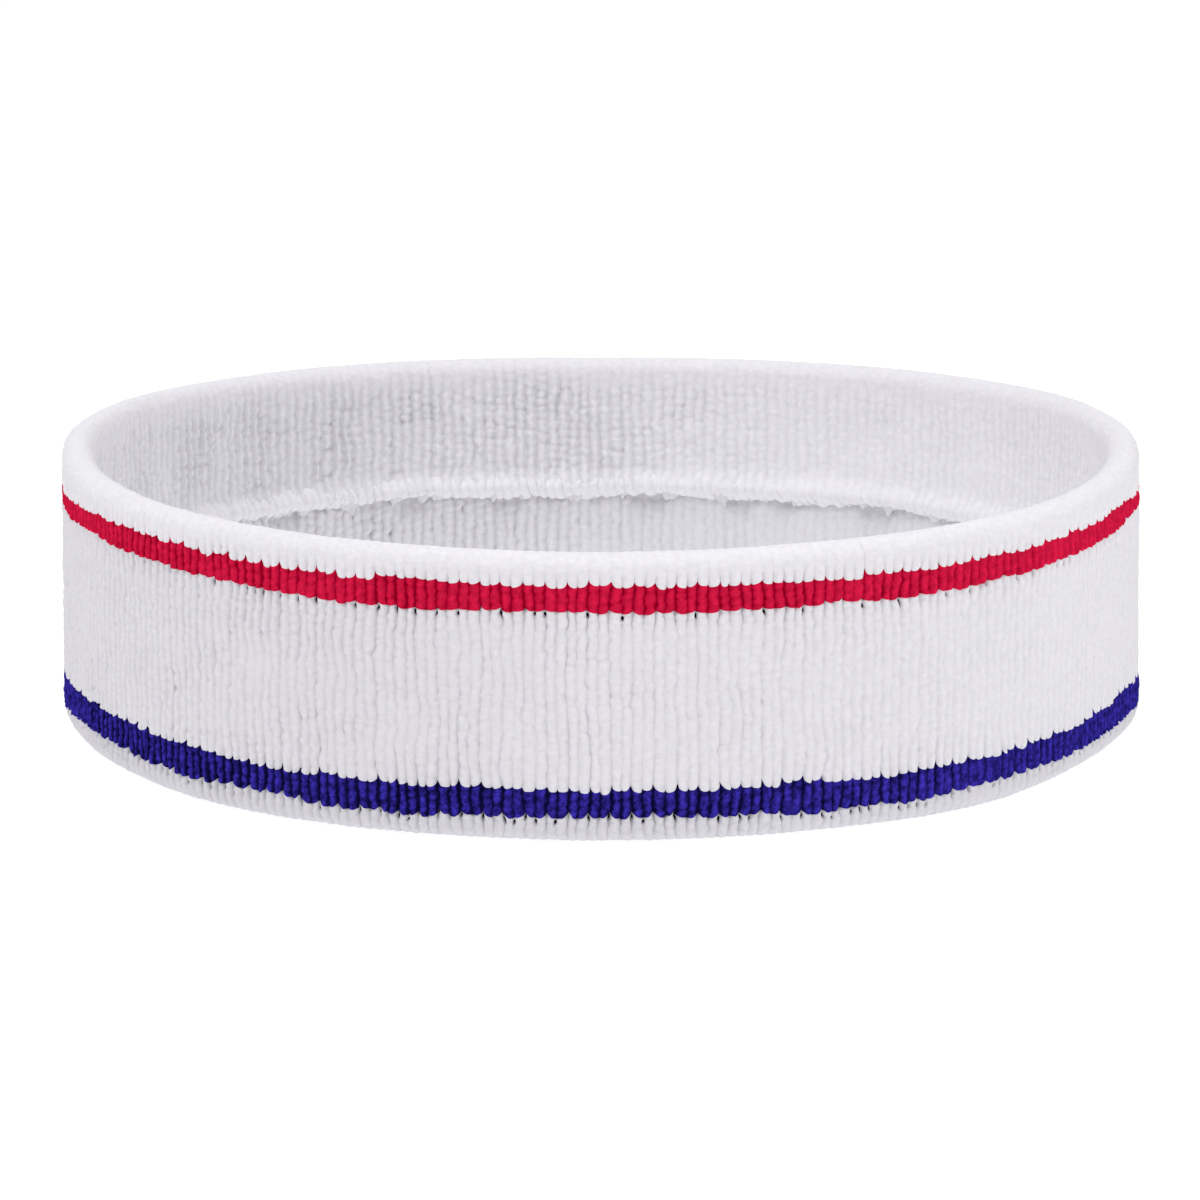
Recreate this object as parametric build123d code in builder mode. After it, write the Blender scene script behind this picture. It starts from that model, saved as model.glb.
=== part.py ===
from build123d import *
import math
import os

# A sports headband: a terry tube knitted in the round, folded double and closed by one seam
# that runs round the middle of its inner wall. It stands on its lower roll, open as it is
# when worn. Millimetres, +Z up, +X to the wearer's side. The origin is the centre of the
# bounding box's bottom face.

# Driving dimensions of the standing band
half_width = 92.0  # from the middle to the widest point of the outer face
front_depth = 90.8  # from the widest line to the front of the outer face
back_depth = 80.3  # from the widest line to the back, where the band is flatter
height = 47.0
wall = 5.6  # two plies of terry with their elastic
roll_radius = 2.3  # of the folded top and bottom edges, which leaves a narrow flat between

# Plan outline: each quarter is three tangent arcs, split where its normal has these angles
side_angle = 25.0
corner_angle = 65.0
corner_radius = 78.2

# Plies of the wall
pile = 1.2  # the terry loops
ground = 0.7  # the jersey that holds them
slack = 0.05  # between yarns and what they lie against

# Pile yarn colours on the outer face, as heights above the floor
blue_low = 5.0
blue_high = 8.7
red_low = 38.1
red_high = 41.8

# Elastic yarns, laid along the courses inside both plies
elastic_radius = 0.3
elastic_pitch = 4.2
elastic_count = 10

# Closing seam: the raw edges come out through the inner wall, turn down and are overcast
seam_height = height / 2
edge_ply = 0.5  # one raw edge of the jersey, without its pile
edge_length = 3.6
edge_lift = 0.2  # between the turned edges and the pile below them
looper = 0.3  # the overcasting thread round the raw edges
needle_radius = 0.18

seam_outer_face = wall + edge_lift + 2 * edge_ply + slack
elastic_depth = pile + ground + elastic_radius + slack
recentre = (front_depth - back_depth) / 2


def quarter_arcs(depth):
    """Centre, radius, start and span of the three arcs from the side to an end this deep.

    The side and end radii follow from the corner radius, because all three arcs are tangent.
    """
    cos_side = math.cos(math.radians(side_angle))
    sin_side = math.sin(math.radians(side_angle))
    cos_end = math.cos(math.radians(corner_angle))
    sin_end = math.sin(math.radians(corner_angle))
    across = corner_radius * (cos_side - cos_end) - half_width
    along = corner_radius * (sin_side - sin_end) + depth
    determinant = (cos_side - 1) * (1 - sin_end) + cos_end * sin_side
    side_radius = (across * (1 - sin_end) + cos_end * along) / determinant
    end_radius = ((cos_side - 1) * along - sin_side * across) / determinant
    corner_x = half_width - side_radius + (side_radius - corner_radius) * cos_side
    corner_y = (side_radius - corner_radius) * sin_side
    return [
        (half_width - side_radius, 0.0, side_radius, 0.0, side_angle),
        (corner_x, corner_y, corner_radius, side_angle, corner_angle - side_angle),
        (0.0, depth - end_radius, end_radius, corner_angle, 90.0 - corner_angle),
    ]


def right_half_arcs():
    """The arcs of the right half of the outline, turning anticlockwise seen from above."""
    front = [
        (x, recentre - y, radius, -start - span, span)
        for x, y, radius, start, span in quarter_arcs(front_depth)
    ]
    back = [
        (x, recentre + y, radius, start, span)
        for x, y, radius, start, span in quarter_arcs(back_depth)
    ]
    return front + back


def carry_round(draw_section, label):
    """Makes a closed ring by turning a wall section about the centre of each arc in turn.

    draw_section adds the section to a sketch whose x runs inwards from the outer face and
    whose y is the height above the floor.
    """
    with BuildPart() as ring:
        for x, y, radius, start, span in right_half_arcs():
            turn = math.radians(start)
            outer_face = Vector(x + radius * math.cos(turn), y + radius * math.sin(turn), 0)
            inwards = Vector(-math.cos(turn), -math.sin(turn), 0)
            with BuildSketch(Plane(outer_face, x_dir=inwards, z_dir=inwards.cross(Vector(0, 0, 1)))):
                draw_section()
            revolve(axis=Axis((x, y, 0), (0, 0, 1)), revolution_arc=span)
        mirror(about=Plane.YZ)
    ring.part.label = label
    return ring


def block(inner_face, outer_face, low, high, mode=Mode.ADD):
    """A rectangle of the section between two depths and two heights."""
    with Locations(((inner_face + outer_face) / 2, (low + high) / 2)):
        Rectangle(abs(inner_face - outer_face), high - low, mode=mode)


def rolled_wall(inset, mode=Mode.ADD):
    """The whole wall with its rolled edges, drawn in from its faces."""
    with Locations((wall / 2, height / 2)):
        RectangleRounded(wall - 2 * inset, height - 2 * inset, roll_radius - inset, mode=mode)


def pile_section(outer_low, outer_high, inner_low, inner_high):
    """The terry pile between two heights on the outer face and two on the inner face."""
    rolled_wall(0)
    rolled_wall(pile, mode=Mode.SUBTRACT)
    for near, far, low, high in (
        (-1, wall / 2, outer_low, outer_high),
        (wall / 2, wall + 1, inner_low, inner_high),
    ):
        if low > 0:
            block(near, far, -1, low, mode=Mode.SUBTRACT)
        if high < height:
            block(near, far, high, height + 1, mode=Mode.SUBTRACT)


def top_border_section():
    pile_section(red_high, height, seam_height + edge_ply + slack, height)


def bottom_border_section():
    pile_section(0, blue_low, 0, seam_height - edge_ply - slack)


def red_stripe_section():
    block(0, pile, red_low, red_high)


def centre_panel_section():
    block(0, pile, blue_high, red_low)


def blue_stripe_section():
    block(0, pile, blue_low, blue_high)


def ground_knit_section():
    rolled_wall(pile)
    rolled_wall(pile + ground, mode=Mode.SUBTRACT)
    slit = edge_ply + slack
    block(wall / 2, wall, seam_height - slit, seam_height + slit, mode=Mode.SUBTRACT)


def elastic_heights():
    """Heights of the elastic yarns, spread evenly about mid-height."""
    lowest = seam_height - elastic_pitch * (elastic_count - 1) / 2
    return [lowest + elastic_pitch * i for i in range(elastic_count)]


def outer_elastic_section():
    with Locations(*[(elastic_depth, z) for z in elastic_heights()]):
        Circle(elastic_radius)


def inner_elastic_section():
    with Locations(*[(wall - elastic_depth, z) for z in elastic_heights()]):
        Circle(elastic_radius)


def upper_edge_section():
    """The upper raw edge comes out of the slit and turns down over the lower one."""
    near = wall - pile - ground
    far = wall + edge_lift + 2 * edge_ply + slack
    block(near, far, seam_height, seam_height + edge_ply)
    block(far - edge_ply, far, seam_height - edge_ply - edge_length, seam_height)


def lower_edge_section():
    """The lower raw edge comes out beneath it and turns down against the inner wall."""
    near = wall - pile - ground
    far = wall + edge_lift + edge_ply
    block(near, far, seam_height - edge_ply, seam_height - slack)
    block(far - edge_ply, far, seam_height - edge_ply - edge_length, seam_height - edge_ply)


def looper_thread_section():
    """Overcasting wraps both raw edges, so it is open only where they enter it from above."""
    low = seam_height - edge_ply - edge_length - slack
    high = seam_height - edge_ply - slack
    near = wall + slack
    with Locations(((near + seam_outer_face + looper) / 2, (low - looper + high) / 2)):
        Rectangle(seam_outer_face + looper - near, high - low + looper)
    block(wall + edge_lift - slack, seam_outer_face + slack, low, high + 1, mode=Mode.SUBTRACT)


def needle_thread_section():
    with Locations((seam_outer_face + slack + needle_radius, seam_height + edge_ply / 2)):
        Circle(needle_radius)


sections = {
    "top_border_terry": top_border_section,
    "red_stripe_terry": red_stripe_section,
    "centre_panel_terry": centre_panel_section,
    "blue_stripe_terry": blue_stripe_section,
    "bottom_border_terry": bottom_border_section,
    "ground_knit": ground_knit_section,
    "outer_elastic_yarns": outer_elastic_section,
    "inner_elastic_yarns": inner_elastic_section,
    "upper_seam_edge": upper_edge_section,
    "lower_seam_edge": lower_edge_section,
    "overlock_looper_thread": looper_thread_section,
    "seam_needle_thread": needle_thread_section,
}

os.makedirs("parts", exist_ok=True)
for node_name, section in sections.items():
    node = carry_round(section, node_name)
    export_step(node.part, f"parts/{node_name}.step")
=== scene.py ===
"""A white terry headband with a red and a blue stripe, standing open on its lower roll."""
import math

import bpy
import numpy as np
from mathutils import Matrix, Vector


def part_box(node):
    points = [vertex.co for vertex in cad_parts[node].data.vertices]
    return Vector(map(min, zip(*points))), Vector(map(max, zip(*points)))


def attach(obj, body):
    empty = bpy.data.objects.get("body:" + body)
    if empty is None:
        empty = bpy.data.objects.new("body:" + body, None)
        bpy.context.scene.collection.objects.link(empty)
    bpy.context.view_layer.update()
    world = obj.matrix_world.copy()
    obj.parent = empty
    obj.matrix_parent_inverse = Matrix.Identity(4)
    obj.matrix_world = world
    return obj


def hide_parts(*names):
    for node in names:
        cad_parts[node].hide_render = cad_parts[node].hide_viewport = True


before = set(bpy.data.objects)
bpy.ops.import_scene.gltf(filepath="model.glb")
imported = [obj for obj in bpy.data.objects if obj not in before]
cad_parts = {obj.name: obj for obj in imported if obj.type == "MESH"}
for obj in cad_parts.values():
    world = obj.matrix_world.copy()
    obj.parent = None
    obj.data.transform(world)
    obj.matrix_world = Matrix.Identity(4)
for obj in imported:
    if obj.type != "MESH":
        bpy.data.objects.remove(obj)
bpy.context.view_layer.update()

MM = 0.001

# The frame, in millimetres
panel_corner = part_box("centre_panel_terry")[1]
red_low, red_high = (corner[2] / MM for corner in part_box("red_stripe_terry"))
blue_low, blue_high = (corner[2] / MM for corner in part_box("blue_stripe_terry"))
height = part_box("top_border_terry")[1][2] / MM
half_width = panel_corner[0] / MM
half_depth = panel_corner[1] / MM

# The outline's driving dimensions, as in the CAD model
depth_in_front = 90.8 / (90.8 + 80.3)  # share of the depth, in front of the widest line
front_depth = 2 * half_depth * depth_in_front
back_depth = 2 * half_depth - front_depth
widest_line = (front_depth - back_depth) / 2
side_angle = math.radians(25.0)
corner_angle = math.radians(65.0)
corner_radius = 0.85 * half_width
wall = 5.6
roll = wall / 2
seam_height = height / 2

# The knit
front_wales = 150  # vertical ropes of loops in the front, where they are closer together
back_wales = 148
wales = front_wales + back_wales
front_girth_share = 0.457  # of the girth, that the ropes in front take up
course = 1.2  # height of one loop
half_seam_wall = height - roll - seam_height
roll_length = math.pi * roll
outer_start = half_seam_wall + roll_length
outer_end = outer_start + height - 2 * roll
section_length = outer_end + roll_length + half_seam_wall


# ---------------------------------------------------------------- the band's form


def right_half_arcs():
    """Centre, radius, start and span of the outline's arcs, from the front to the back."""
    cos_side, sin_side = math.cos(side_angle), math.sin(side_angle)
    cos_end, sin_end = math.cos(corner_angle), math.sin(corner_angle)
    arcs = []
    for depth, sign in ((front_depth, -1), (back_depth, 1)):
        across = corner_radius * (cos_side - cos_end) - half_width
        along = corner_radius * (sin_side - sin_end) + depth
        determinant = (cos_side - 1) * (1 - sin_end) + cos_end * sin_side
        side_radius = (across * (1 - sin_end) + cos_end * along) / determinant
        end_radius = ((cos_side - 1) * along - sin_side * across) / determinant
        corner_x = half_width - side_radius + (side_radius - corner_radius) * cos_side
        corner_y = (side_radius - corner_radius) * sin_side
        quarter = [
            (half_width - side_radius, 0.0, side_radius, 0.0, side_angle),
            (corner_x, corner_y, corner_radius, side_angle, corner_angle),
            (0.0, depth - end_radius, end_radius, corner_angle, math.pi / 2),
        ]
        if sign < 0:
            arcs += [(x, widest_line - y, r, -end, -start) for x, y, r, start, end in quarter[::-1]]
        else:
            arcs += [(x, widest_line + y, r, start, end) for x, y, r, start, end in quarter]
    return arcs


ARCS = right_half_arcs()
half_girth = sum(radius * (end - start) for _, _, radius, start, end in ARCS)


def outline(along):
    """Points and outward normals of the outer face, this far round from the front's middle."""
    side = np.where(along < 0, -1.0, 1.0)
    left = np.abs(along)
    x, y, turn = np.zeros_like(left), np.zeros_like(left), np.zeros_like(left)
    travelled = 0.0
    for centre_x, centre_y, radius, start, end in ARCS:
        inside = left >= travelled - 1e-9
        angle = start + (left - travelled) / radius
        x = np.where(inside, centre_x + radius * np.cos(angle), x)
        y = np.where(inside, centre_y + radius * np.sin(angle), y)
        turn = np.where(inside, angle, turn)
        travelled += radius * (end - start)
    return side * x, y, side * np.cos(turn), np.sin(turn)


def wale_along(place_in_wales):
    """How far round the band from the front's middle a place counted in wales is."""
    turn = np.mod(place_in_wales, wales) - wales / 2
    front = front_girth_share * half_girth
    return np.interp(
        turn,
        (-wales / 2, -front_wales / 2, front_wales / 2, wales / 2),
        (-half_girth, -front, front, half_girth),
    )


def section(t):
    """Depth below the outer face, height and normal of the folded wall, t along its section.

    t starts at the seam on the inner wall, climbs to the top roll, comes down the outer wall,
    turns under the bottom roll and climbs back to the seam.
    """
    top = np.clip((t - half_seam_wall) / roll, 0, math.pi)
    bottom = np.clip((t - outer_end) / roll, 0, math.pi)
    turn = top + bottom
    climb = np.minimum(t, half_seam_wall) + np.maximum(t - outer_end - roll_length, 0)
    drop = np.clip(t - outer_start, 0, outer_end - outer_start)
    depth = roll + roll * np.cos(turn)
    z = seam_height + climb - drop + roll * np.sin(top) - roll * np.sin(bottom)
    return depth, z, -np.cos(turn), np.sin(turn)


def outer_t(z):
    """Where the outer wall is at this height."""
    return outer_start + height - roll - z


def rim_lift(along):
    """How far the soft rim stands above or below the band's height."""
    share = np.abs(along) / half_girth
    return np.interp(share, (0.0, 0.25, 0.5, 0.62, 0.75, 1.0), (-0.3, 0.3, 0.9, 0.6, -0.6, -1.5))


def hem_lift(along):
    """How far the soft lower edge stands off the floor."""
    share = along / half_girth
    return np.interp(
        share,
        (-0.7, -0.48, -0.40, -0.28, 0.1, 0.2, 0.26, 0.33, 0.38, 0.48, 0.7),
        (0.0, 0.9, 0.8, 0.1, 0.15, 0.0, 0.1, 1.0, 1.1, 0.4, 0.0),
    )


def sway(along, z):
    """Slow unevenness of the cloth's face."""
    share = along / half_girth
    turn = share * math.pi
    lean = z / height
    left_end = np.exp(-(((share + 0.47) / 0.11) ** 2)) * 0.6 * (1 - lean)
    right_end = np.exp(-(((share - 0.45) / 0.11) ** 2)) * (0.9 - 0.5 * lean)
    return (
        left_end + right_end
        + 0.16 * np.sin(5 * turn + 1.3 + 1.1 * lean)
        + 0.10 * np.sin(9 * turn + 0.4 - 1.7 * lean)
        + 0.06 * np.sin(17 * turn + 2.1 + 2.5 * lean)
    )


def place(along, t, rise):
    """Points of the cloth, in metres, rise millimetres proud of the wall's section."""
    depth, z, out, up = section(t)
    x, y, normal_x, normal_y = outline(along)
    reach = sway(along, z) - depth + rise * out
    z = z + rise * up
    z = z * (1 + rim_lift(along) * np.clip(z / height, 0, 1) / height)
    z = z + hem_lift(along) * np.clip(1 - z / 6, 0, 1)
    z = np.maximum(z, 0.02)  # loops under the band are pressed flat by its weight
    return np.stack([x + normal_x * reach, y + normal_y * reach, z], axis=-1) * MM


# ---------------------------------------------------------------- meshes


def closed_grid(name, points, attributes=()):
    """A ring of quads that closes both along its rows and along its columns."""
    rows, columns = points.shape[:2]
    row, column = (part.ravel() for part in np.mgrid[0:rows, 0:columns])
    corner_rows = np.stack([row, row, row + 1, row + 1], axis=-1)
    corner_columns = np.stack([column, column + 1, column + 1, column], axis=-1)
    quads = (corner_rows % rows) * columns + corner_columns % columns
    flat = points.reshape(-1, 3)
    a, b, c, d = (flat[quads[:, i]] for i in range(4))
    volume = np.einsum("ij,ij->i", a, np.cross(b, c) + np.cross(c, d)).sum()
    if volume < 0:
        quads = quads[:, ::-1]
        corner_rows = corner_rows[:, ::-1]
        corner_columns = corner_columns[:, ::-1]
    # The ring is unrolled on its map as strips, one above the other
    strips = 3
    strip = np.floor(column * strips / columns)[:, None]
    u = corner_columns * strips / columns - strip
    v = (strip + 0.01 + 0.98 * corner_rows / rows) / strips
    return mesh_object(name, flat, quads, attributes, np.stack([u, v], axis=-1))


def mesh_object(name, vertices, faces, attributes=(), uvs=None):
    """A smooth-shaded object, with named values at its points."""
    mesh = bpy.data.meshes.new(name)
    mesh.vertices.add(len(vertices))
    mesh.vertices.foreach_set("co", np.ascontiguousarray(vertices, np.float32).ravel())
    mesh.loops.add(faces.size)
    mesh.loops.foreach_set("vertex_index", np.ascontiguousarray(faces, np.int32).ravel())
    mesh.polygons.add(len(faces))
    loop_starts = np.arange(0, faces.size, faces.shape[1], dtype=np.int32)
    mesh.polygons.foreach_set("loop_start", loop_starts)
    mesh.update(calc_edges=True)
    if uvs is not None:
        layer = mesh.uv_layers.new(name="OFBake")
        layer.uv.foreach_set("vector", np.ascontiguousarray(uvs, np.float32).ravel())
    mesh.validate()
    mesh.shade_smooth()
    for label, values in attributes:
        layer = mesh.attributes.new(label, "FLOAT", "POINT")
        layer.data.foreach_set("value", np.ascontiguousarray(values, np.float32).ravel())
    piece = bpy.data.objects.new(name, mesh)
    bpy.context.scene.collection.objects.link(piece)
    return piece


# ---------------------------------------------------------------- the knit's surface


class Drift:
    """A smooth random value that changes along each wale, and isn't shared between wales."""

    def __init__(self, seed, knot):
        self.knot = knot
        count = int(section_length / knot) + 6
        self.table = np.random.default_rng(seed).standard_normal((wales, count))

    def __call__(self, wale, t):
        place_on = np.clip(t, -2, section_length + 2) / self.knot + 3
        low = np.floor(place_on).astype(int)
        part = place_on - low
        part = part * part * (3 - 2 * part)
        wale = np.mod(wale, wales)
        return self.table[wale, low] * (1 - part) + self.table[wale, low + 1] * part


class Field:
    """A smooth random value over the unrolled cloth, with its own coarseness each way."""

    def __init__(self, seed, across, down):
        self.columns = int(round(2 * half_girth / across))
        self.down = down
        rows = int(section_length / down) + 3
        self.table = np.random.default_rng(seed).standard_normal((rows, self.columns))

    def __call__(self, along, t):
        column = (along / (2 * half_girth) + 0.5) * self.columns
        row = np.clip(t, 0, section_length) / self.down
        left, low = np.floor(column).astype(int), np.floor(row).astype(int)
        u, v = column - left, row - low
        u, v = u * u * (3 - 2 * u), v * v * (3 - 2 * v)
        right = np.mod(left + 1, self.columns)
        left = np.mod(left, self.columns)
        upper = self.table[low, left] * (1 - u) + self.table[low, right] * u
        lower = self.table[low + 1, left] * (1 - u) + self.table[low + 1, right] * u
        return upper * (1 - v) + lower * v


groove_drift = Drift(11, 5.0)
groove_crinkle = Drift(12, 1.3)
swell_drift = Drift(13, 4.0)
lump_drift = Drift(14, 1.4)
phase_drift = Drift(15, 9.0)
loops_in_a_wale = int(section_length / course) + 12
loop_noise = np.random.default_rng(16).standard_normal((5, wales, loops_in_a_wale))
patches = Field(17, 9.0, 7.0)
lean_field = Field(18, 7.0, 6.0)
dents = Field(19, 2.6, 2.2)
grains = Field(20, 0.75, 0.8)

# One value for each rope at the stripes' edges, and the same evened out over seven ropes
edge_noise = np.random.default_rng(21).standard_normal((8, wales))
slow_noise = sum(np.roll(edge_noise, step, axis=1) for step in range(-3, 4)) / math.sqrt(7)


def pair_place(wale, f):
    """Place in a pair of wales, from -1 to 1, with 0 at the groove inside the pair."""
    return np.where(wale % 2 == 0, f - 0.5, f + 0.5)


RED_TOP, RED_BOTTOM = outer_t(red_high), outer_t(red_low)
BLUE_TOP, BLUE_BOTTOM = outer_t(blue_high), outer_t(blue_low)
ROLL_TOP = half_seam_wall + roll_length / 2
ROLL_BOTTOM = outer_end + roll_length / 2
# How the surface changes along the section, in millimetres: the rounded groove between ropes,
# the narrow crease at its bottom, each loop's bulge, the grooves' wander and the ropes' lumps
RELIEF = (
    # t, groove, crease, bulge, wander, lumps
    (0.0, 0.30, 0.02, 0.30, 0.07, 0.11),
    (half_seam_wall - 9, 0.36, 0.01, 0.42, 0.06, 0.13),
    (half_seam_wall - 4, 0.34, 0.01, 0.38, 0.06, 0.12),
    (half_seam_wall - 1, 0.15, 0.02, 0.16, 0.06, 0.07),
    (half_seam_wall + 1.5, 0.07, 0.01, 0.08, 0.05, 0.05),
    (ROLL_TOP, 0.03, 0.0, 0.03, 0.04, 0.02),
    (outer_start, 0.05, 0.01, 0.05, 0.04, 0.04),
    (RED_TOP - 1.4, 0.12, 0.14, 0.09, 0.04, 0.05),
    (RED_TOP, 0.20, 0.32, 0.10, 0.05, 0.05),
    (RED_BOTTOM, 0.30, 0.44, 0.16, 0.06, 0.06),
    (RED_BOTTOM + 1.3, 0.26, 0.24, 0.16, 0.08, 0.06),
    (RED_BOTTOM + 3.5, 0.17, 0.05, 0.13, 0.08, 0.07),
    (RED_BOTTOM + 10.0, 0.13, 0.02, 0.12, 0.08, 0.08),
    (BLUE_TOP - 6.0, 0.14, 0.03, 0.12, 0.08, 0.08),
    (BLUE_TOP - 1.5, 0.20, 0.12, 0.12, 0.06, 0.06),
    (BLUE_TOP, 0.26, 0.36, 0.14, 0.05, 0.05),
    (BLUE_BOTTOM, 0.32, 0.48, 0.22, 0.06, 0.06),
    (BLUE_BOTTOM + 2.2, 0.18, 0.20, 0.14, 0.07, 0.04),
    (ROLL_BOTTOM, 0.06, 0.03, 0.04, 0.07, 0.02),
    (outer_end + roll_length, 0.20, 0.03, 0.20, 0.06, 0.08),
    (section_length, 0.20, 0.02, 0.24, 0.06, 0.08),
)
# Loops passed on the way along the section, from their height on each part of it
loop_inside, loop_on_roll, loop_outside = 1.6, 1.4, 1.25
course_turns = np.cumsum((
    0,
    half_seam_wall / loop_inside,
    roll_length / loop_on_roll,
    (outer_end - outer_start) / loop_outside,
))
COURSES = (
    (0, half_seam_wall, outer_start, outer_end, section_length),
    (*course_turns, course_turns[-1] + (section_length - outer_end) / loop_inside),
)
# How much deeper the grooves between pairs of ropes are
PAIRED_AT = (half_seam_wall, RED_TOP, RED_BOTTOM, RED_BOTTOM + 4, BLUE_TOP, BLUE_BOTTOM, outer_end)
PAIRED = (0.1, 0.1, 0.2, 0.2, 0.25, 0.3, 0.1)
# Groove, crease, bulge and lumps of the stripes
RED_RELIEF = (0.22, 0.10, 0.10, 0.09)
BLUE_RELIEF = (0.24, 0.08, 0.16, 0.10)


def calm(along, t):
    """How far the knit stands out: brushed smooth at the band's ends and inside on the right."""
    share = along / half_girth
    inside = np.interp(
        share,
        (-1, -0.8, -0.6, 0.4, 0.6, 0.85, 0.94, 1),
        (0.9, 1.1, 0.8, 0.6, 0.4, 0.4, 0.6, 0.9),
    )
    outside = np.interp(
        share,
        (-1, -0.5, -0.42, -0.25, 0.1, 0.2, 0.3, 0.5, 0.7, 1),
        (0.8, 0.7, 0.65, 1, 1, 0.75, 0.55, 0.5, 0.6, 0.8),
    )
    past_top = np.clip((t - half_seam_wall) / roll_length, 0, 1)
    before_hem = np.clip((section_length - t - 12) / roll_length, 0, 1)
    blend = past_top * before_hem
    return inside * (1 - blend) + outside * blend


def valley(f):
    """Depth of the rounded groove and of the crease across a wale, 0 on the rope's crown."""
    return np.sin(math.pi * f) ** 2, np.abs(2 * f) ** 7


def loops(wale, f, t, twist):
    """Stacked loops of one wale, 1 on each crown and less in the creases between them."""
    here = np.interp(t, *COURSES) + 0.5 * (wale % 2) + 0.3 * phase_drift(wale, t)
    nearest = np.floor(here)
    # On the inner wall above the seam the ropes meet more gently
    soft = 1 - np.clip((t - half_seam_wall) / roll_length, 0, 1)
    best = np.full(t.shape, -9.0)
    for step in (-1, 0, 1):
        k = nearest + step
        index = np.clip(k.astype(int) + 4, 0, loop_noise.shape[2] - 1)
        row = np.broadcast_to(wale % wales, index.shape)
        shift, lean, size, sideways, gain = (loop_noise[i][row, index] for i in range(5))
        down = here - k - 0.5 - 0.12 * shift
        across = f - 0.09 * sideways + (0.30 * lean + twist) * down
        side = soft * np.sin(math.pi * np.clip(across, -0.5, 0.5)) ** 2
        side = side + (1 - soft) * np.abs(across / 0.5) ** 2.2
        lump = 1 - (down / (0.62 + 0.07 * size)) ** 2 - 0.6 * side
        best = np.maximum(best, lump + 0.12 * gain)
    return best


def knit(wale, f, t, twist=0.0, tip=None, sizes=None):
    """Where the cloth's face is round the band, and how far proud, for points of the wales.

    f is the place across the wale, from -0.5 to 0.5. The grooves wander, and the ropes
    between them swell and bulge at each loop. tip is the distance from the ropes' rounded
    upper ends, where they have them. The last value is the dips' painted shade, 0 on the
    crowns and 1 in the dips.
    """
    rows = np.array(RELIEF).T
    groove, crease, bulge, wander, lumps = (np.interp(t, rows[0], row) for row in rows[1:])
    if sizes is not None:
        groove, crease, bulge, lumps = sizes
    left = -0.5 + wander * (0.8 * groove_drift(wale - 1, t) + groove_crinkle(wale - 1, t))
    right = 0.5 + wander * (0.8 * groove_drift(wale, t) + groove_crinkle(wale, t))
    along = wale_along(wale + left + (f + 0.5) * (right - left) + 0.5)
    along = along + 3.0 * wander * lean_field(along, t)
    along = np.mod(along + half_girth, 2 * half_girth) - half_girth
    if tip is None:
        rounded, narrow = valley(f)
    else:
        width = 1 - 0.30 * np.clip(1 - tip / 1.1, 0, 1) ** 2
        rounded, narrow = valley(np.clip(f / width, -0.5, 0.5))
    here = calm(along, t)
    paired = np.interp(t, PAIRED_AT, PAIRED)
    pairing = 1 + paired * (pair_place(wale, f) ** 2 - 0.6)
    outer = (t > outer_start) & (t < outer_end)
    beads = np.interp(
        along / half_girth,
        (-1, -0.6, -0.25, -0.05, 0.6, 1),
        (0.3, 0.6, 0.6, 0, 0, 0.3),
    )
    bulge = bulge * (1 + outer * beads)
    relief = here * pairing * np.clip(1 + 0.22 * patches(along, t), 0.5, 1.5)
    looped = loops(wale, f, t, twist)
    rise = (
        -relief * (groove * rounded + crease * narrow)
        + relief * bulge * (looped - 0.75)
        + lumps * here * (swell_drift(wale, t) + 0.7 * lump_drift(wale, t)) * (1 - 0.75 * rounded)
        + lumps * (0.7 * dents(along, t) + 0.55 * here * grains(along, t))
    )
    # How much painted shade each point gets, most in the grooves and between the loops
    strong = np.clip((groove + bulge) / 0.6, 0, 1) * relief
    dip_shade = strong * (0.60 * rounded + 0.35 * narrow + 0.5 * np.clip(0.75 - looped, 0, 1))
    return along, rise, dip_shade


# ---------------------------------------------------------------- stripe edges


def tongue_edge(wale, f, row, reach):
    """How far the loops above a stripe hang over it, as a length down the wall.

    Loops hang in pairs, with the stripe's yarn rising in a point between two pairs.
    """
    q = np.abs(pair_place(wale, f))
    pair = wale // 2 * 2
    own = 0.16 * edge_noise[row, wale] + 0.22 * edge_noise[row + 1, pair]
    own = own + 0.30 * f * np.roll(edge_noise[row], 5)[wale]
    point = np.clip(0.80 + 0.50 * edge_noise[row + 1, (pair + 1) % wales], 0.0, 1.7)
    bowl = point * (0.45 * q**2 + 0.62 * q**6)
    notch = 0.10 * np.abs(2 * f) ** 6
    return reach * (0.45 + own - bowl - notch) + 0.12 * slow_noise[row, wale]


def scallop_edge(wale, f, row, reach):
    """How far a stripe's ropes hang below its lower edge, as a length down the wall.

    The loops below rise in an arch between two pairs.
    """
    q = np.abs(pair_place(wale, f))
    arch = np.clip(1.0 + 0.40 * edge_noise[row + 1, wale // 2 * 2], 0.2, 2) * q**2.2
    own = 0.16 * edge_noise[row, wale] + 0.20 * edge_noise[row + 1, (wale // 2 * 2 + 1) % wales]
    bead = 0.12 * np.cos(2 * math.pi * f)
    return reach * (0.5 - arch + own + bead) + 0.15 * slow_noise[row, wale]


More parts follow.
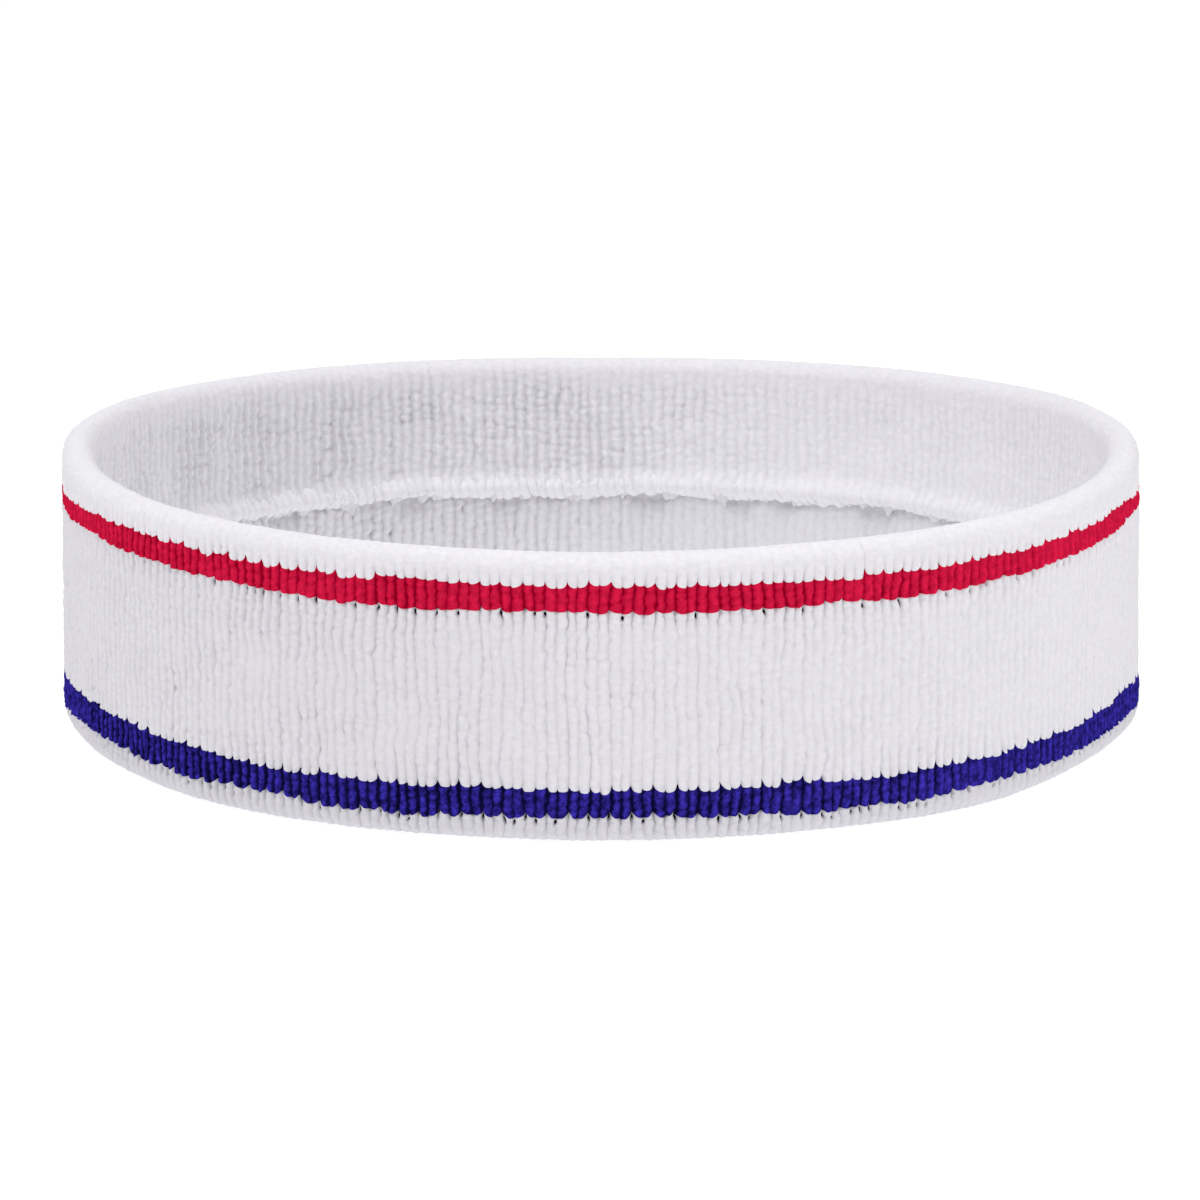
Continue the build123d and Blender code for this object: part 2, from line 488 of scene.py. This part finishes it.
# How far each edge of the stripes is down the wall from its place, in millimetres
WANDER = (
    # share of half the girth, red top, red bottom, blue top, blue bottom
    (-0.64, 0.0, 0.0, 0.0, 0.0),
    (-0.50, 2.4, -0.1, 0.2, 1.6),
    (-0.45, 1.7, -0.2, -0.2, 1.3),
    (-0.40, 0.1, -0.8, -0.9, -0.4),
    (-0.33, -0.3, -1.1, -0.9, -0.6),
    (-0.15, 0.3, -0.1, 0.3, 0.3),
    (0.0, 0.05, -0.3, 0.0, -0.2),
    (0.20, 0.7, 0.2, 0.4, 0.3),
    (0.35, 0.4, -0.5, -0.3, -0.2),
    (0.42, 0.6, -0.7, -0.6, 0.0),
    (0.46, 1.9, 0.0, 0.5, 1.1),
    (0.50, 2.4, 0.7, 0.5, 2.2),
    (0.64, 0.0, 0.0, 0.0, 0.0),
)


def wandering(wale, edge):
    table = np.array(WANDER)
    share = wale_along(wale + 0.5) / half_girth
    return np.interp(share, table[:, 0], table[:, edge + 1])


def red_top_edge(wale, f):
    return RED_TOP + 0.05 + wandering(wale, 0) + tongue_edge(wale, f, 0, 0.66)


def red_bottom_edge(wale, f):
    return RED_BOTTOM + 0.25 + wandering(wale, 1) + scallop_edge(wale, f, 2, 0.36)


def blue_top_edge(wale, f):
    return BLUE_TOP + wandering(wale, 2) + tongue_edge(wale, f, 4, 0.75)


def blue_bottom_edge(wale, f):
    return BLUE_BOTTOM + 0.36 + wandering(wale, 3) + scallop_edge(wale, f, 6, 0.68)


def rounded_end(distance, radius, drop):
    """How far a rope's end falls away, this far from its tip."""
    part = np.clip(1 - distance / radius, 0, 1)
    return drop * (1 - np.sqrt(np.clip(1 - part * part, 0, 1)))


# ---------------------------------------------------------------- terry pieces


seam_gap = 0.1  # left open at the seam, above the lower ply's edge
seam_overlap = 3.0  # the upper ply folds this far over the lower one
stripe_tuck_above = 0.7  # a stripe runs this far under the loops above it
stripe_tuck_below = 0.3
pile = 1.15  # thickness of the loops, down to the jersey
DEEPEST = 0.46  # of the shade, short of the holes' colour
# Strength of the painted shade in the white yarn's grooves
WHITE_DIP_SHADE = 0.42  # how far the white yarn's shade goes towards its valley colour in the dips


def seam_waver(along):
    """How far below its place the seam's ridge runs."""
    turn = along / half_girth * math.pi
    return 0.40 * np.sin(12 * turn) + 0.30 * np.sin(4 * turn + 2) + 0.28 * np.sin(24 * turn + 1)


def ridge(t):
    """How far the upper ply is lifted as it folds over the seam."""
    return 2.0 * np.exp(-(((t + 0.9) / 2.0) ** 2))


def flap_edge(wale, f):
    """The lower edge of the upper ply, rope by rope, over the seam."""
    ragged = 0.16 * edge_noise[7, wale] + 0.10 * slow_noise[2, wale] - 0.35 * (2 * f) ** 2
    return -(seam_overlap + seam_waver(wale_along(wale + f + 0.5)) + ragged)


def terry_ring(name, start, end, rows, back_rows, shape):
    """One terry piece between two edges, closed behind by its root at the jersey.

    start and end give the edges for each wale; shape adds what is special to the piece and
    returns the place round the band, the rise and the painted shade of each point.
    """
    samples = 12  # points across each rope
    wale = np.repeat(np.arange(wales), samples)[None, :]
    f = np.tile(np.arange(samples) / samples - 0.5, wales)[None, :]
    first, last = start(wale, f), end(wale, f)
    t = first + (last - first) * rows[:, None]
    along, rise, shade = shape(wale, f, t, t - first, last - t)
    face = place(along, t, np.maximum(rise, 0.05 - pile + ridge(t)))
    back_t = first + (last - first) * np.linspace(1, 0, back_rows)[:, None]
    back_along = along[np.linspace(len(rows) - 1, 0, back_rows).round().astype(int)]
    back = place(back_along, back_t, ridge(back_t) - pile)
    points = np.concatenate([face, back])
    shades = np.concatenate([shade, np.zeros(back_t.shape)])
    return closed_grid(name, points, [("shade", shades)])


def graded_rows(length, fine_start, fine_end):
    """Row places from 0 to 1, closer together where the piece meets a stripe."""
    places = [0.0]
    while places[-1] < length:
        here = places[-1]
        near = min(here if fine_start else length, length - here if fine_end else length)
        places.append(here + min(max(0.13, 0.13 * near), 0.30))
    return np.array(places) / places[-1]


def constant(t):
    return lambda wale, f: np.full(np.broadcast(wale, f).shape, t)


def pits(wale, f, below, row, chance, depth):
    """Small holes in the grooves just below a stripe, and how dark they are: painted shade, with
    some of it the dark yarn seen through them.
    """
    side = np.where(f < 0, wale, wale + 1) % wales
    between_pairs = side % 2 == 0
    there = edge_noise[row, side] < np.where(between_pairs, chance, chance - 1.1)
    centre = 1.0 + 0.15 * edge_noise[(row + 1) % 8, side]
    size = np.where(between_pairs, 0.42, 0.28) + 0.08 * edge_noise[(row + 3) % 8, side]
    down = np.exp(-(((below - centre) / size) ** 4))
    across = np.exp(-(((0.5 - np.abs(f)) / 0.14) ** 4))
    strength = there * down * across
    return -depth * strength, strength


def top_border(wale, f, t, from_start, to_end):
    along, rise, dip_shade = knit(wale, f, t)
    rise = rise + ridge(t) - rounded_end(from_start, 1.1, 1.0)
    rise = rise - rounded_end(to_end, 0.6, 0.85) * (t > outer_start)
    inner = 1 - np.clip((t - half_seam_wall + 2) / 6, 0, 1)
    # Painted shade on the inner wall, stronger on its left than on its right
    inner_painted_shade = np.clip(calm(along, t) - 0.45, 0, 1)
    crest_painted_shade = 0.14 * np.exp(-(((t - ROLL_TOP + 1) / 3.0) ** 2))  # painted shade that darkens the roll's crest a little
    return along, rise, np.minimum(WHITE_DIP_SHADE * dip_shade + 0.36 * inner * inner_painted_shade + crest_painted_shade, DEEPEST)


def centre_panel(wale, f, t, from_start, to_end):
    along, rise, dip_shade = knit(wale, f, t, tip=from_start)
    # The holes' darkness is painted shade, partly the dark yarn seen through them
    hole, hole_painted_shade = pits(wale, f, from_start, 3, -0.1, 0.9)
    rise = rise + hole - rounded_end(from_start, 0.45, 0.35) - rounded_end(to_end, 0.6, 0.85)
    # Painted shade over the centre panel, strongest left of the front's middle
    panel_painted_shade = np.interp(along / half_girth, (-1, -0.5, -0.15, 0, 1), (0.08, 0.22, 0.20, 0.08, 0.08))
    return along, rise, np.maximum(np.minimum(WHITE_DIP_SHADE * dip_shade + panel_painted_shade, DEEPEST), hole_painted_shade)


def bottom_border(wale, f, t, from_start, to_end):
    along, rise, dip_shade = knit(wale, f, t, tip=from_start)
    # The holes' darkness is painted shade, partly the dark yarn seen through them
    hole, hole_painted_shade = pits(wale, f, from_start, 5, 0.9, 0.9)
    rise = rise + hole - rounded_end(from_start, 0.45, 0.35)
    tuck = seam_tuck(along)  # the seam presses the wall back, further down in some places
    near = np.exp(-((np.maximum(to_end - 2.6, 0) / (1.0 + 2.2 * tuck)) ** 2))
    rise = rise - (0.5 + 0.6 * tuck) * near
    # Painted shade on the outer face of this border, fading out under the bottom roll
    outside = 1 - np.clip((t - ROLL_BOTTOM) / 5, 0, 1)
    # Painted shadow in the recess under the seam's ridge, deeper where the wall is tucked
    shade = WHITE_DIP_SHADE * dip_shade + 0.22 * tuck * near + 0.10 * outside
    return along, rise, np.maximum(np.minimum(shade, DEEPEST), hole_painted_shade)


def seam_tuck(along):
    """How far the wall is tucked under the seam's ridge, from 0 to 1, in uneven lengths."""
    turn = along / half_girth * math.pi
    wave = np.sin(23 * turn + 0.7) + 0.9 * np.sin(37 * turn + 2.9) + 0.7 * np.sin(61 * turn + 4.4)
    return np.clip(0.30 + 0.60 * wave, 0, 1)


def red_stripe(wale, f, t, from_start, to_end):
    along, rise, shade = stripe(wale, f, t, from_start, to_end, RED_RELIEF)
    # A little less painted shade in the red grooves
    return along, rise, 0.9 * shade


def blue_stripe(wale, f, t, from_start, to_end):
    return stripe(wale, f, t, from_start, to_end, BLUE_RELIEF)


def stripe(wale, f, t, from_start, to_end, sizes):
    along, rise, dip_shade = knit(wale, f, t, twist=0.35, sizes=sizes)
    rise = rise + 0.05 - rounded_end(from_start, 0.7, 0.5) - rounded_end(to_end, 0.4, 0.35)
    # Painted shade in the stripe's grooves, reaching the hole colour in the deepest ones
    return along, rise, np.clip(1.5 * dip_shade, 0, 1)


def jersey_ring(name):
    """The knitted ground that the loops stand on, folded with them and hidden by them."""
    along = (np.arange(2 * wales) / (2 * wales) - 0.5) * 2 * half_girth
    rows, end_gap = 120, 0.3
    t = np.linspace(end_gap, section_length - end_gap, rows)
    t = np.concatenate([t, t[::-1]])[:, None]
    rise = np.repeat([-1.2, -1.65], rows)[:, None]
    shape = (len(t), len(along))
    points = place(*(np.broadcast_to(part, shape) for part in (along, t, rise)))
    return closed_grid(name, points, [("shade", np.zeros(shape))])


# ---------------------------------------------------------------- the closing seam


stitch_pitch = 1.75
stitch_height = 4.2
stitch_proud = 0.18  # beyond the ridge that the stitches lie on
stitch_middle = seam_height - 1.15


def inner_place(along, z, proud):
    """Points proud of the inner wall's face, in metres."""
    x, y, normal_x, normal_y = outline(along)
    reach = sway(along, z) - wall - proud
    z = z * (1 + rim_lift(along) * np.clip(z / height, 0, 1) / height)
    return np.stack([x + normal_x * reach, y + normal_y * reach, z], axis=-1) * MM


def signed_power(value, power):
    return np.sign(value) * np.abs(value) ** power


def seam_stitches(name):
    """Overcast stitches: slanted pillows of bulky thread, one beside the other."""
    chance = np.random.default_rng(31)
    count = int(round(2 * half_girth / stitch_pitch))
    spacing = 2 * half_girth / count
    rings, segments = 15, 18
    polar = np.linspace(0.02, math.pi - 0.02, rings)[None, :, None]
    turn = np.linspace(0, 2 * math.pi, segments, endpoint=False)[None, None, :]
    number = np.arange(count)[:, None, None]
    from_back = (number + 0.5) * spacing
    draws = chance.standard_normal((6, count))[:, :, None, None]
    tall = stitch_height / 2 * (1 + 0.08 * draws[0])
    wide = spacing * 0.80 * (1 + 0.14 * draws[1])
    slant = np.radians(24 + 8 * draws[2])
    waver = seam_waver(from_back - half_girth)
    middle = stitch_middle + 0.10 * draws[3] - waver
    proud = stitch_proud * (1 + 0.5 * np.sin(number * 0.13 + 1) + 0.2 * draws[4])
    bend = 0.25 + 0.12 * draws[5]
    # A superellipsoid, so that the stitch is full to its ends, bowed a little to one side
    upright = tall * signed_power(np.cos(polar), 0.75) * np.ones_like(turn)
    ring = np.sin(polar) ** 0.7
    sideways = wide * ring * np.cos(turn) + bend * (1 - (upright / tall) ** 2)
    height_on = ridge(middle + upright * np.cos(slant) - seam_height) + proud
    lift = height_on * ring * signed_power(np.sin(turn), 0.9)
    along = sideways * np.cos(slant) + upright * np.sin(slant) + from_back
    along = np.mod(along, 2 * half_girth) - half_girth
    z = middle + upright * np.cos(slant) - sideways * np.sin(slant)
    lift = lift + 0.10 * lump_noise(along, z) + 0.08 * lump_noise(2.3 * along, 1.9 * z)
    points = inner_place(along, z, lift)
    return tube_objects(name, points)


def lump_noise(along, z):
    """A fixed gentle unevenness of the seam's thread."""
    return np.sin(along * 4.1 + 1.7 * z) * np.sin(z * 5.3 - 0.6 * along)


def tube_objects(name, points):
    """Joins closed pillows, each given as rings of points, into one object."""
    count, rings, segments = points.shape[:3]
    base = np.arange(count)[:, None, None] * rings * segments
    ring = np.arange(rings - 1)[None, :, None] * segments
    here = np.arange(segments)[None, None, :]
    after = (here + 1) % segments
    low, high = base + ring, base + ring + segments
    sides = np.stack([low + here, high + here, high + after, low + after], axis=-1)
    sides = sides.reshape(-1, 4)
    half = np.arange(segments // 2 - 1)
    cap = np.stack([half, half + 1, segments - 2 - half, segments - 1 - half], axis=-1)
    first = (np.arange(count)[:, None, None] * rings * segments + cap).reshape(-1, 4)
    last = (first + (rings - 1) * segments)[:, ::-1]
    return mesh_object(name, points.reshape(-1, 3), np.concatenate([sides, first, last]))


def seam_edge(name):
    """The raw edges inside and under the stitches: a flat roll with a lumpy lower edge."""
    columns, around = 3200, 28
    along = (np.arange(columns) / columns - 0.5) * 2 * half_girth
    turn = np.linspace(0, 2 * math.pi, around, endpoint=False)[:, None]
    chance = np.random.default_rng(41)
    lumps = np.zeros(columns)
    round_turn = np.arange(columns) / columns * 2 * math.pi
    for waves, size in ((37, 0.26), (61, 0.28), (113, 0.26), (197, 0.20), (331, 0.08)):
        lumps += size * np.sin(round_turn * waves + chance.uniform(0, 6.28))
    ripple = 0.10 * np.sin(along * 3.1 + 2 * turn) + 0.08 * np.sin(along * 5.3 - 3 * turn)
    low = np.clip(-np.sin(turn), 0, 1)
    tall = 1.6 + low * (1.9 * lumps + 0.3 * np.sin(along * 0.105))
    z = stitch_middle - 0.15 + (tall + ripple) * signed_power(np.sin(turn), 0.9)
    lift = (1.3 + 0.30 * low * (lumps - 1) + ripple) * signed_power(np.cos(turn), 0.8)
    points = inner_place(np.broadcast_to(along[None, :], z.shape), z, lift)
    # Painted shade over the whole raw edge, which lies in shadow under the stitches
    return closed_grid(name, points, [("shade", np.full(z.shape, 0.15))])


# ---------------------------------------------------------------- materials


def new_material(name):
    material = bpy.data.materials.new(name)
    material.use_nodes = True
    tree = material.node_tree
    shader = tree.nodes["Principled BSDF"]
    return material, tree, shader


def node(tree, kind, **settings):
    made = tree.nodes.new(kind)
    for key, value in settings.items():
        if key in made.inputs:
            made.inputs[key].default_value = value
        else:
            setattr(made, key, value)
    return made


def terry_material(name, crown, dip_shade, hole, mottle, fuzz):
    """Looped yarn: mottled on a loop's scale, with painted shade in the grooves and holes from the
    shade attribute, fuzzy with fibres.
    """
    material, tree, shader = new_material(name)
    link = tree.links.new
    place_at = node(tree, "ShaderNodeTexCoord")
    blotches = node(tree, "ShaderNodeTexNoise", Scale=900.0, Detail=4.0, Roughness=0.7)
    fibres = node(tree, "ShaderNodeTexNoise", Scale=3800.0, Detail=4.0, Roughness=0.65)
    lumps = node(tree, "ShaderNodeTexNoise", Scale=1300.0, Detail=2.0, Roughness=0.5)
    for texture in (blotches, fibres, lumps):
        link(place_at.outputs["Object"], texture.inputs["Vector"])
    spread = node(tree, "ShaderNodeMapRange")
    spread.inputs["From Min"].default_value = 0.38
    spread.inputs["From Max"].default_value = 0.62
    link(blotches.outputs["Fac"], spread.inputs["Value"])
    tone = node(tree, "ShaderNodeMix", data_type="RGBA")
    tone.inputs[6].default_value = (*[c * (1 - mottle) for c in crown], 1)
    tone.inputs[7].default_value = (*[min(1.0, c * (1 + mottle)) for c in crown], 1)
    link(spread.outputs["Result"], tone.inputs[0])
    shade = node(tree, "ShaderNodeAttribute", attribute_name="shade")
    # Painted shade: the shade attribute mixes the yarn towards its dip colour
    dip_mix = node(tree, "ShaderNodeMix", data_type="RGBA")
    link(shade.outputs["Fac"], dip_mix.inputs[0])
    link(tone.outputs[2], dip_mix.inputs[6])
    dip_mix.inputs[7].default_value = (*dip_shade, 1)
    # Past half of the shade, the painted shade goes on to the hole colour, darkest in holes and
    # deep grooves
    deep = node(tree, "ShaderNodeMapRange")
    deep.inputs["From Min"].default_value = 0.50
    deep.inputs["From Max"].default_value = 0.80
    link(shade.outputs["Fac"], deep.inputs["Value"])
    hole_mix = node(tree, "ShaderNodeMix", data_type="RGBA")
    link(deep.outputs["Result"], hole_mix.inputs[0])
    link(dip_mix.outputs[2], hole_mix.inputs[6])
    hole_mix.inputs[7].default_value = (*hole, 1)
    link(hole_mix.outputs[2], shader.inputs["Base Color"])
    rough = node(tree, "ShaderNodeMapRange")
    rough.inputs["To Min"].default_value = 0.82
    rough.inputs["To Max"].default_value = 0.97
    link(lumps.outputs["Fac"], rough.inputs["Value"])
    link(rough.outputs["Result"], shader.inputs["Roughness"])
    fine = node(tree, "ShaderNodeBump", Strength=fuzz, Distance=0.00012)
    coarse = node(tree, "ShaderNodeBump", Strength=fuzz, Distance=0.00025)
    link(lumps.outputs["Fac"], coarse.inputs["Height"])
    link(fibres.outputs["Fac"], fine.inputs["Height"])
    link(coarse.outputs["Normal"], fine.inputs["Normal"])
    link(fine.outputs["Normal"], shader.inputs["Normal"])
    shader.inputs["Specular IOR Level"].default_value = 0.0
    return material


white = terry_material(
    "white_terry", crown=(0.82, 0.805, 0.845), dip_shade=(0.55, 0.535, 0.574),
    hole=(0.010, 0.008, 0.012), mottle=0.035, fuzz=0.5,
)
# The same white yarn, darker: painted shade for the lower border
white_low_painted_shade = terry_material(
    "white_terry_low_painted_shade", crown=(0.735, 0.72, 0.76), dip_shade=(0.50, 0.485, 0.53),
    hole=(0.005, 0.004, 0.010), mottle=0.035, fuzz=0.5,
)
red = terry_material(
    "red_terry", crown=(0.66, 0.012, 0.058), dip_shade=(0.44, 0.0004, 0.030),
    hole=(0.34, 0.0003, 0.020), mottle=0.20, fuzz=0.9,
)
blue = terry_material(
    "blue_terry", crown=(0.033, 0.023, 0.305), dip_shade=(0.010, 0.006, 0.075),
    hole=(0.006, 0.0045, 0.05), mottle=0.6, fuzz=1.0,
)
jersey = terry_material(
    "ground_jersey", crown=(0.72, 0.71, 0.74), dip_shade=(0.5, 0.5, 0.52),
    hole=(0.2, 0.2, 0.2), mottle=0.03, fuzz=0.3,
)
rubber = terry_material(
    "elastic_yarn", crown=(0.76, 0.74, 0.69), dip_shade=(0.5, 0.5, 0.48),
    hole=(0.2, 0.2, 0.2), mottle=0.05, fuzz=0.3,
)
thread = terry_material(
    "seam_thread", crown=(0.80, 0.785, 0.825), dip_shade=(0.60, 0.58, 0.63),
    hole=(0.2, 0.2, 0.2), mottle=0.02, fuzz=0.5,
)


def finish(piece, material, slot_name, *nodes):
    piece.data.materials.append(material)
    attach(piece, "root")
    if nodes:
        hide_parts(*nodes)


# ---------------------------------------------------------------- build


top_piece = terry_ring(
    "top_border_loops",
    flap_edge, red_top_edge,
    graded_rows(RED_TOP + seam_overlap, False, True), 40, top_border,
)
finish(top_piece, white, "white_terry", "top_border_terry")

red_piece = terry_ring(
    "red_stripe_loops",
    lambda wale, f: red_top_edge(wale, f) - stripe_tuck_above,
    lambda wale, f: red_bottom_edge(wale, f) + stripe_tuck_below,
    np.linspace(0, 1, 36), 6, red_stripe,
)
finish(red_piece, red, "red_terry", "red_stripe_terry")

panel_piece = terry_ring(
    "centre_panel_loops",
    red_bottom_edge, blue_top_edge,
    graded_rows(red_low - blue_high, True, True), 30, centre_panel,
)
finish(panel_piece, white, "white_terry", "centre_panel_terry")

blue_piece = terry_ring(
    "blue_stripe_loops",
    lambda wale, f: blue_top_edge(wale, f) - stripe_tuck_above,
    lambda wale, f: blue_bottom_edge(wale, f) + stripe_tuck_below,
    np.linspace(0, 1, 36), 6, blue_stripe,
)
finish(blue_piece, blue, "blue_terry", "blue_stripe_terry")

bottom_piece = terry_ring(
    "bottom_border_loops",
    blue_bottom_edge, constant(section_length - seam_gap),
    graded_rows(section_length - BLUE_BOTTOM, True, False), 40, bottom_border,
)
finish(bottom_piece, white_low_painted_shade, "white_terry", "bottom_border_terry")

ground_piece = jersey_ring("ground_jersey_fabric")
finish(ground_piece, jersey, "ground_jersey", "ground_knit")
stitches = seam_stitches("seam_stitches")
finish(stitches, thread, "seam_thread", "overlock_looper_thread", "seam_needle_thread")
raw_edge = seam_edge("seam_raw_edge")
finish(raw_edge, jersey, "ground_jersey", "upper_seam_edge", "lower_seam_edge")

for label, material in (
    ("ground_knit", jersey),
    ("upper_seam_edge", jersey),
    ("lower_seam_edge", jersey),
    ("outer_elastic_yarns", rubber),
    ("inner_elastic_yarns", rubber),
    ("overlock_looper_thread", thread),
    ("seam_needle_thread", thread),
):
    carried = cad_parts[label]
    carried.data.materials.clear()
    carried.data.materials.append(material)

# ---------------------------------------------------------------- stage


def floor_material():
    material, tree, shader = new_material("pale_floor")
    shader.inputs["Base Color"].default_value = (0.50, 0.50, 0.50, 1)
    shader.inputs["Roughness"].default_value = 1.0
    shader.inputs["Specular IOR Level"].default_value = 0.0
    shader.inputs["Emission Color"].default_value = (1, 1, 1, 1)
    shader.inputs["Emission Strength"].default_value = 0.68
    return material


floor_size = 6.0
floor_mesh = bpy.data.meshes.new("floor")
corners = [(-1, -1), (1, -1), (1, 1), (-1, 1)]
corners = [(x * floor_size, y * floor_size, 0) for x, y in corners]
floor_mesh.from_pydata(corners, [], [(0, 1, 2, 3)])
floor = bpy.data.objects.new("floor", floor_mesh)
floor.data.materials.append(floor_material())
bpy.context.scene.collection.objects.link(floor)


def soft_light(name, location, target, size, power):
    data = bpy.data.lights.new(name, "AREA")
    data.shape = "DISK"
    data.size = size
    data.energy = power
    lamp = bpy.data.objects.new(name, data)
    lamp.location = location
    lamp.rotation_euler = (Vector(target) - Vector(location)).to_track_quat("-Z", "Y").to_euler()
    lamp.visible_camera = False
    bpy.context.scene.collection.objects.link(lamp)
    return lamp


def light_from(name, azimuth, elevation, distance, size, share):
    """A soft disc of light that gives the band this share of a uniform white sky's light."""
    turn, rise = math.radians(azimuth), math.radians(elevation)
    level = math.cos(rise)
    towards = Vector((math.sin(turn) * level, -math.cos(turn) * level, math.sin(rise)))
    power = share * math.pi**2 * distance**2
    return soft_light(name, towards * distance, (0.0, 0.0, 0.02), size, power)


light_from("overhead", 0, 89.9, 1.5, 0.9, 0.40)
light_from("key_left", -60, 50, 1.5, 0.8, 0.28)
light_from("low_right", 70, 14, 1.5, 0.8, 0.145)
light_from("front", 0, 60, 1.5, 0.8, 0.075)
light_from("back", 180, 50, 1.5, 0.8, 0.03)
light_from("near_right", 50, 45, 0.5, 0.4, 0.09)

world = bpy.data.worlds.new("studio")
world.use_nodes = True
world.node_tree.nodes["Background"].inputs["Color"].default_value = (1.0, 1.0, 1.0, 1)
world.node_tree.nodes["Background"].inputs["Strength"].default_value = 0.35
bpy.context.scene.world = world
bpy.context.scene.view_settings.view_transform = "Standard"

# The camera stands this far off, in half widths of the band, looking down by this much
camera_distance = 10.06 * half_width * MM
camera_elevation = math.radians(13.22)
field_half_width = 0.1121  # tangent of half the view's angle
aim_below = 0.00594  # tangent of the angle by which the view's centre passes under the band's

band_centre = Vector((0, widest_line, seam_height)) * MM
toward = Vector((0, -math.cos(camera_elevation), math.sin(camera_elevation)))
camera_data = bpy.data.cameras.new("camera")
camera_data.sensor_width = 36.0
camera_data.lens = camera_data.sensor_width / 2 / field_half_width
camera = bpy.data.objects.new("camera", camera_data)
camera.location = band_centre + toward * camera_distance
up_in_view = Vector((0, math.sin(camera_elevation), math.cos(camera_elevation)))
aim = band_centre - up_in_view * camera_distance * aim_below
camera.rotation_euler = (aim - camera.location).to_track_quat("-Z", "Y").to_euler()
bpy.context.scene.collection.objects.link(camera)
bpy.context.scene.camera = camera
